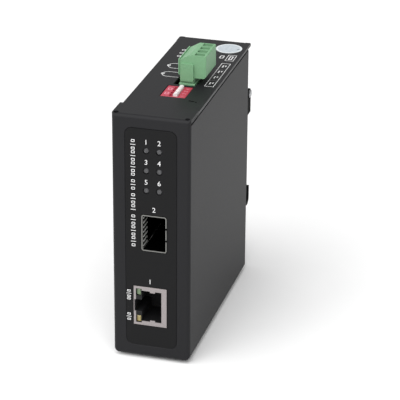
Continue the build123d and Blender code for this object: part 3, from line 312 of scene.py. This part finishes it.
# Moulding of the plug, in the same polyamide: a copy of the solid with its roof reshaped.
# Its cover is a thin plate on the left, and from there the roof climbs to the wire funnels.
# The moulded edges are slightly rounded and catch the light. It stands in for the plain solid.
plug_low, plug_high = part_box("terminal_plug")
COVER = plug_low.x + 0.7 * MM
ROOF = plug_low.x + 1.0 * MM
RIDGE = plug_low.x + 4.8 * MM
STEP_LEFT = COVER + 3 * MM
CROWN = plug_high.z - 1.5 * MM
STEP = 1.0 * MM
COVER_DROP = 0.8 * MM
ROOF_DROP = 0.3 * MM
HAIR = 0.05 * MM
MOULDED_EDGE = 0.12 * MM
SAME_POINT = 0.001 * MM
SLIVER_WIDTH = 0.02 * MM
SLIVER_EDGE = 0.005 * MM
FLAT = math.radians(0.5)
SHARP = math.radians(40)
nodes["terminal_plug"].select_set(True)
bpy.context.view_layer.objects.active = nodes["terminal_plug"]
bpy.ops.object.duplicate()
plug_head = bpy.context.object
plug_head.name = "plug_moulding"
del plug_head["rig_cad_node"]
bpy.ops.object.mode_set(mode="EDIT")
bpy.ops.mesh.select_mode(type="VERT")
bpy.ops.mesh.select_all(action="SELECT")
bpy.ops.mesh.remove_doubles(threshold=SAME_POINT)
bpy.ops.mesh.dissolve_limited(angle_limit=FLAT)
bpy.ops.mesh.select_all(action="DESELECT")
bpy.ops.object.mode_set(mode="OBJECT")
step_level = plug_high.z - STEP
raise_points(plug_head, STEP_LEFT, RIDGE, step_level - HAIR, step_level + HAIR, STEP)
raise_points(plug_head, plug_low.x - HAIR, ROOF, CROWN, plug_high.z, -COVER_DROP)
raise_points(plug_head, COVER, ROOF, CROWN - COVER_DROP, plug_high.z, -ROOF_DROP)
bevel = plug_head.modifiers.new("moulded_edge", "BEVEL")
bevel.width = MOULDED_EDGE
bevel.segments = 2
bevel.limit_method = "ANGLE"
bevel.angle_limit = SHARP
bpy.ops.object.modifier_apply(modifier=bevel.name)
bpy.ops.object.mode_set(mode="EDIT")
bpy.ops.mesh.select_all(action="SELECT")
bpy.ops.mesh.remove_doubles(threshold=SLIVER_WIDTH)
bpy.ops.mesh.dissolve_degenerate(threshold=SLIVER_EDGE)
bpy.ops.mesh.select_all(action="DESELECT")
bpy.ops.object.mode_set(mode="OBJECT")
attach(plug_head, "plug")
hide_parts("terminal_plug")
bpy.ops.object.select_all(action="DESELECT")

# Case: a front shell and a rear chassis folded from steel sheet and powder coated.
# The baked powder is a matte charcoal skin with a fine even pebble. Along the cut edge of the top plate
# a paler line is painted in: partly bare metal where the powder draws back, partly a painted highlight.
POWDER_GRAIN = 0.35
CUT_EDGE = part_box("rear_chassis")[1].x
EDGE_START = 10.9 * MM
EDGE_HALF = 0.12 * MM
for name, sheet in (("charcoal_powder_coat", "front_shell"), ("powder_coat_with_cut_edge", "rear_chassis")):
    powder, surface, place = begin(name, IOR=1.5)
    surface.inputs["Specular IOR Level"].default_value = 0.16
    tint = grain(powder, surface, place, POWDER_GRAIN, "#1a1a1c", "#212123", 0.3, 0.03, (0.42, 0.55))
    dress(powder, sheet)
# The second coat, on the chassis, is the one with the paler edge line: bare edge and painted highlight
split = add(powder, "ShaderNodeSeparateXYZ", links={"Vector": (place, "Object")})
edge = add(powder, "ShaderNodeMath", {1: CUT_EDGE, 2: EDGE_HALF}, {0: (split, "X")}, operation="COMPARE")
behind = add(
    powder, "ShaderNodeMath", {1: FRONT + EDGE_START}, {0: (split, "Y")}, operation="GREATER_THAN"
)
bare_edge_and_highlight = add(
    powder, "ShaderNodeMath", links={0: (edge, "Value"), 1: (behind, "Value")}, operation="MULTIPLY"
)
# Paler line on the cut edge: bare metal and a painted highlight together.
shade(powder, surface, tint, bare_edge_and_highlight, "Value", "#5a5a5a")

# Overlay: a polycarbonate film printed on its back and stuck into the pressed recess.
# Its face has a fine velvet texture, so it is a little darker and duller than the paint.
film, surface, place = begin("velvet_polycarbonate_film", IOR=1.58)
surface.inputs["Specular IOR Level"].default_value = 0.12
grain(film, surface, place, 0.25, "#0f0f10", "#151516", 0.2, 0.02, (0.45, 0.6))
dress(film, "front_label")

# Print on the overlay: white screen ink, a thin opaque layer that stands just proud of the film.
# Lamps and ports have plain numbers, and columns of small rings and bars run down beside them.
INK = 0.03 * MM
LABEL_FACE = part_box("front_label")[0].y
FACE_FRONT = (math.pi / 2, 0, 0)
ink, surface, place = begin("white_screen_ink", IOR=1.5)
grain(ink, surface, place, 0.3, "#cfcfcf", "#e0e0e0", 0.1, 0.01, (0.5, 0.65))


def patch(centre, size, corner=0.0, ring=0.0, turn=(0, 0, 0)):
    """Lay a flat patch of ink: a rectangle, its corners rounded or its middle left out where asked."""
    bpy.ops.object.select_all(action="DESELECT")
    bpy.ops.mesh.primitive_plane_add(size=1)
    piece = bpy.context.object
    bpy.ops.object.mode_set(mode="EDIT")
    bpy.ops.mesh.select_all(action="SELECT")
    bpy.ops.transform.resize(value=(size[0], size[1], 1))
    if corner:
        bpy.ops.mesh.bevel(offset=corner, segments=6, affect="VERTICES")
    if ring:
        bpy.ops.mesh.inset(thickness=ring)
        bpy.ops.mesh.delete(type="FACE")
        bpy.ops.mesh.select_all(action="SELECT")
    bpy.ops.mesh.extrude_region_move(TRANSFORM_OT_translate={"value": (0, 0, INK)})
    bpy.ops.mesh.select_all(action="SELECT")
    bpy.ops.mesh.normals_make_consistent()
    bpy.ops.object.mode_set(mode="OBJECT")
    piece.rotation_euler = turn
    piece.location = centre
    bpy.ops.object.transform_apply()
    return piece


# A digit's height as a share of its font's size
DIGIT_SHARE = 0.7


def numeral(text, centre, height, turn=(0, 0, 0)):
    """Set a plain number in ink and turn it into a mesh."""
    bpy.ops.object.select_all(action="DESELECT")
    bpy.ops.object.text_add(rotation=turn, location=centre)
    piece = bpy.context.object
    piece.data.body = text
    piece.data.size = height / DIGIT_SHARE
    piece.data.align_x = "CENTER"
    piece.data.align_y = "CENTER"
    piece.data.extrude = INK
    bpy.ops.object.convert(target="MESH")
    bpy.ops.object.transform_apply()
    return piece


def gather(pieces, name, material):
    """Join pieces of print into one that rides on the case."""
    bpy.ops.object.select_all(action="DESELECT")
    for piece in pieces:
        piece.select_set(True)
    bpy.context.view_layer.objects.active = pieces[0]
    bpy.ops.object.join()
    joined = bpy.context.object
    joined.name = name
    joined.data.materials.clear()
    joined.data.materials.append(material)
    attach(joined, "case")
    return joined


# The lamps are counted from the right in each row, and their numbers from the left
LAMP_NUMBERS = "214365"
front_print = []
NUMBER = 1.95 * MM
ABOVE_LAMP = 3.4 * MM
for lamp, number in enumerate(LAMP_NUMBERS, start=1):
    low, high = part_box(f"status_lamp_{lamp}")
    over = ((low.x + high.x) / 2, LABEL_FACE, (low.z + high.z) / 2 + ABOVE_LAMP)
    front_print.append(numeral(number, over, NUMBER, FACE_FRONT))
ABOVE_PORT = 2.3 * MM
for port, number in (("sfp_cage", "2"), ("rj45_shield", "1")):
    low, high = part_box(port)
    over = ((low.x + high.x) / 2, LABEL_FACE, high.z + ABOVE_PORT)
    front_print.append(numeral(number, over, NUMBER, FACE_FRONT))

STROKE = 0.24 * MM
BAR = 1.95 * MM
RING_SHARE = 0.72
RING_CORNER = 0.2 * MM
GROUP_GAP = 0.8


def small_print(centre_x, top, step, groups):
    """Lay groups of small marks down the overlay: one bar in three marks, and rings for the rest."""
    level = top
    for marks in groups:
        for mark in range(marks):
            spot = (centre_x, LABEL_FACE, level)
            if mark % 3 == 1:
                front_print.append(patch(spot, (BAR, STROKE), turn=FACE_FRONT))
            else:
                ring = (BAR * RING_SHARE, step * RING_SHARE)
                front_print.append(patch(spot, ring, RING_CORNER, STROKE, FACE_FRONT))
            level -= step
        level -= GROUP_GAP * step


# Each column: its middle in X, its top, the step from mark to mark, and the marks in each group
for middle, top, step, groups in (
    (-6.9, 90.9, 1.5, (10, 3, 5, 9)),
    (-8.9, 28.7, 1.13, (4,)),
    (-8.9, 18.8, 1.13, (3,)),
):
    small_print(middle * MM, top * MM, step * MM, groups)
gather(front_print, "front_print", ink)

# Print on the top plate: the same white ink, screened onto the paint before assembly.
# Two loops run out from the terminal on the left, and a ruled strip of four cells lies on its right.
# Places along the plate are millimetres behind the front.
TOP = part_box("round_seal")[0].z
top_print = []
LINE = 0.24 * MM
WINDOW = -2.4 * MM
LOOP_RIGHT = 2.0 * MM
HALF_ROUND = 0.49
EYELET = (1.3 * MM, 1.5 * MM)
EYELET_IN = 0.3 * MM
EYELET_CORNER = 0.5 * MM
for near, far, end in ((44.9, 50.3, -9.7), (54.2, 59.8, -10.0)):
    left = end * MM
    deep = (far - near) * MM
    centre = ((left + LOOP_RIGHT) / 2, FRONT + (near + far) / 2 * MM, TOP)
    loop = patch(centre, (LOOP_RIGHT - left, deep), corner=deep * HALF_ROUND, ring=LINE)
    bpy.ops.object.mode_set(mode="EDIT")
    bpy.ops.mesh.select_all(action="SELECT")
    bpy.ops.mesh.bisect(plane_co=(WINDOW, 0, 0), plane_no=(1, 0, 0), clear_outer=True)
    bpy.ops.object.mode_set(mode="OBJECT")
    top_print.append(loop)
    top_print.append(patch((left + EYELET_IN, centre[1], TOP), EYELET, EYELET_CORNER, 1.4 * LINE))
DOT = 1.5 * MM
DOT_X = -8.85 * MM
SOFT_CORNER = 0.4 * MM
for depth in (68.2, 71.9, 75.5):
    top_print.append(patch((DOT_X, FRONT + depth * MM, TOP), (DOT, DOT), SOFT_CORNER, LINE))
STRIP = (9.67 * MM, 13.35 * MM)
CELLS = (38.9, 45.7, 52.4, 58.3, 65.0)
# Bars in each cell: off its middle in X and Y, wide and deep
BARS = ((-0.45, 0.0, 0.5, 2.4), (0.55, 0.5, 0.5, 1.4))
for near, far in zip(CELLS, CELLS[1:]):
    centre = (sum(STRIP) / 2, FRONT + (near + far) / 2 * MM, TOP)
    cell = (STRIP[1] - STRIP[0], (far - near) * MM + LINE)
    top_print.append(patch(centre, cell, ring=LINE))
    for beside, behind, wide, deep in BARS:
        spot = (centre[0] + beside * MM, centre[1] + behind * MM, TOP)
        top_print.append(patch(spot, (wide * MM, deep * MM)))
# Boxes behind the strip: the middle in X and behind the front, wide and deep, the corner and the line
for middle, depth, wide, deep, corner, thick in (
    (11.6, 71.6, 3.45, 6.8, 0.0, 1.0),
    (11.6, 71.6, 1.5, 4.0, 0.0, 1.8),
    (7.85, 72.0, 1.7, 3.2, 0.4, 1.6),
):
    spot = (middle * MM, FRONT + depth * MM, TOP)
    top_print.append(patch(spot, (wide * MM, deep * MM), corner * MM, LINE * thick))
gather(top_print, "top_print", ink)

# Dark marks: three small dark patches on the paint in front of the switch, and a stroke on the seal.
# They are dead matte, so they stay darker than the paint round them.
DAB_DEEP = 0.7 * MM
DAB_CORNER = 0.2 * MM
dark_mark = [
    patch((middle * MM, FRONT + depth * MM, TOP), (wide * MM, DAB_DEEP), corner=DAB_CORNER)
    for middle, depth, wide in ((8.7, 22.2, 1.0), (9.9, 21.9, 1.2), (11.2, 21.5, 0.7))
]
dark_patch_finish, surface, place = begin("dead_matte_dark_patch", IOR=1.5)
surface.inputs["Specular IOR Level"].default_value = 0.02
grain(dark_patch_finish, surface, place, 0.3, "#050505", "#0a0a0a", 0.1, 0.01, (0.7, 0.85))
seal_low, seal_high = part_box("round_seal")
seal_radius = (seal_high.x - seal_low.x) / 2
seal_centre = (seal_low + seal_high) / 2
STROKE_OUT = 0.72
STROKE_SIZE = (0.25 * MM, 1.2 * MM)
STROKE_TURN = -0.7
stroke = seal_centre + Vector((STROKE_OUT * seal_radius, 0, seal_high.z - seal_centre.z))
dark_mark.append(patch(stroke, STROKE_SIZE, turn=(0, 0, STROKE_TURN)))
gather(dark_mark, "dark_mark", dark_patch_finish)

# Marks on the DIP switch: numbers 1 to 4 beside the slots and a pair of pale rings at the far side.
# They are hot-stamped into the red plastic in a pale pink white.
stamp, surface, place = begin("pale_stamping_foil", IOR=1.5)
grain(stamp, surface, place, 0.3, "#c9788a", "#d48c9b", 0.05, 0.01, (0.45, 0.6))
dip_low, dip_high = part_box("dip_body")
FACE_RIGHT = (0, 0, math.pi / 2)
WAY_NUMBER = 1.5 * MM
WAY_NUMBER_IN = 1.5 * MM
PALE_RING = (1.7 * MM, 2.2 * MM)
PALE_RING_IN = 1.8 * MM
PALE_RING_LINE = 0.4 * MM
dip_print = []
for way in range(1, 5):
    low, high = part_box(f"dip_slider_{way}")
    beside = (dip_high.x - WAY_NUMBER_IN, (low.y + high.y) / 2, dip_high.z)
    dip_print.append(numeral(str(way), beside, WAY_NUMBER, FACE_RIGHT))
for share in (0.3, 0.7):
    beside = (dip_low.x + PALE_RING_IN, dip_low.y + share * (dip_high.y - dip_low.y), dip_high.z)
    dip_print.append(patch(beside, PALE_RING, SOFT_CORNER, PALE_RING_LINE))
gather(dip_print, "dip_print", stamp)

# Seal: a round of coated paper stuck on the top plate near the back.
# It is white round the rim, with a mottled field of pale grey blue printed inside.
paper, surface, place = begin("coated_paper", IOR=1.5)
tint = grain(paper, surface, place, 1.1, "#8d99a3", "#c9cfd2", 0.1, 0.03, (0.5, 0.65))
WHITE_RIM = 0.6 * MM
RIM_FADE = 0.3 * MM
reach = add(paper, "ShaderNodeVectorMath", {1: seal_centre}, {0: (place, "Object")}, operation="DISTANCE")
rim = add(
    paper,
    "ShaderNodeMapRange",
    {"From Min": seal_radius - WHITE_RIM - RIM_FADE, "From Max": seal_radius - WHITE_RIM},
    {"Value": (reach, "Value")},
)
shade(paper, surface, tint, rim, "Result", "#cdd2d4")
dress(paper, "round_seal")

# Rail clip: a plate with hooks and ears, painted satin black, and a jaw of plated spring steel.
# The plate is screwed to the back, and the jaw swings on a pin across the ears.
satin_black, surface, place = begin("satin_black_enamel", IOR=1.5)
surface.inputs["Specular IOR Level"].default_value = 0.02
grain(satin_black, surface, place, 0.6, "#0a0a0b", "#101011", 0.1, 0.02, (0.5, 0.65))
dress(satin_black, "clip_plate")
spring_steel, surface, place = begin("plated_spring_steel", Metallic=1.0)
grain(spring_steel, surface, place, 0.8, "#75777a", "#97999b", 0.15, 0.02, (0.3, 0.5))
dress(spring_steel, "clip_jaw")

# Studio: a pale floor that runs out of sight, a room that is bright on the left and dim on the right,
# and a large soft box above and in front.
floor_paint, surface, place = begin("pale_floor", Roughness=0.9)
surface.inputs["Specular IOR Level"].default_value = 0.1
grain(floor_paint, surface, place, 40.0, "#ececec", "#f1f1f1", 0.02, 0.1, (0.85, 0.95))
bpy.ops.object.select_all(action="DESELECT")
FLOOR_SIZE = 12.0
bpy.ops.mesh.primitive_plane_add(size=FLOOR_SIZE)
floor = bpy.context.object
floor.name = "floor"
bpy.ops.object.mode_set(mode="EDIT")
bpy.ops.mesh.subdivide(number_cuts=4)
bpy.ops.object.mode_set(mode="OBJECT")
floor.data.materials.append(floor_paint)
floor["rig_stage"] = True

LEFT_LIGHT = 0.9
RIGHT_LIGHT = 0.25
world = bpy.data.worlds.new("white_room")
bpy.context.scene.world = world
world.use_nodes = True
around = add(world, "ShaderNodeTexCoord")
split = add(world, "ShaderNodeSeparateXYZ", links={"Vector": (around, "Generated")})
fall = add(
    world,
    "ShaderNodeMapRange",
    {"From Min": -1.0, "From Max": 1.0, "To Min": LEFT_LIGHT, "To Max": RIGHT_LIGHT},
    {"Value": (split, "X")},
)
room = world.node_tree.nodes["Background"]
room.inputs["Color"].default_value = (1.0, 1.0, 1.0, 1.0)
world.node_tree.links.new(fall.outputs["Result"], room.inputs["Strength"])
AIM = Vector((0, 0, 0.05))
bpy.ops.object.light_add(type="AREA", location=(-0.05, -0.95, 1.4))
soft_box = bpy.context.object
soft_box.name = "soft_box"
soft_box.data.size = 2.4
soft_box.data.energy = 47.0
soft_box.rotation_euler = (AIM - soft_box.location).to_track_quat("-Z", "Y").to_euler()
bpy.context.scene.view_settings.view_transform = "Standard"

# Camera: a long lens from the right and above.
# Its place and its three directions were fitted to the edges of the case.
EYE = (195.716 * MM, FRONT - 641.160 * MM, 369.201 * MM)
RIGHT = (0.96328, 0.26844, 0.00643)
UP = (-0.11574, 0.39348, 0.91202)
BACKWARD = (0.24229, -0.87927, 0.41010)
bpy.ops.object.camera_add()
camera = bpy.context.object
camera.data.sensor_width = 36.0
camera.data.lens = 177.3
camera.data.clip_start = 0.01
camera.data.clip_end = 50.0
camera.matrix_world = Matrix([*zip(RIGHT, UP, BACKWARD, EYE), (0, 0, 0, 1)])
bpy.context.scene.camera = camera

low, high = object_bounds()
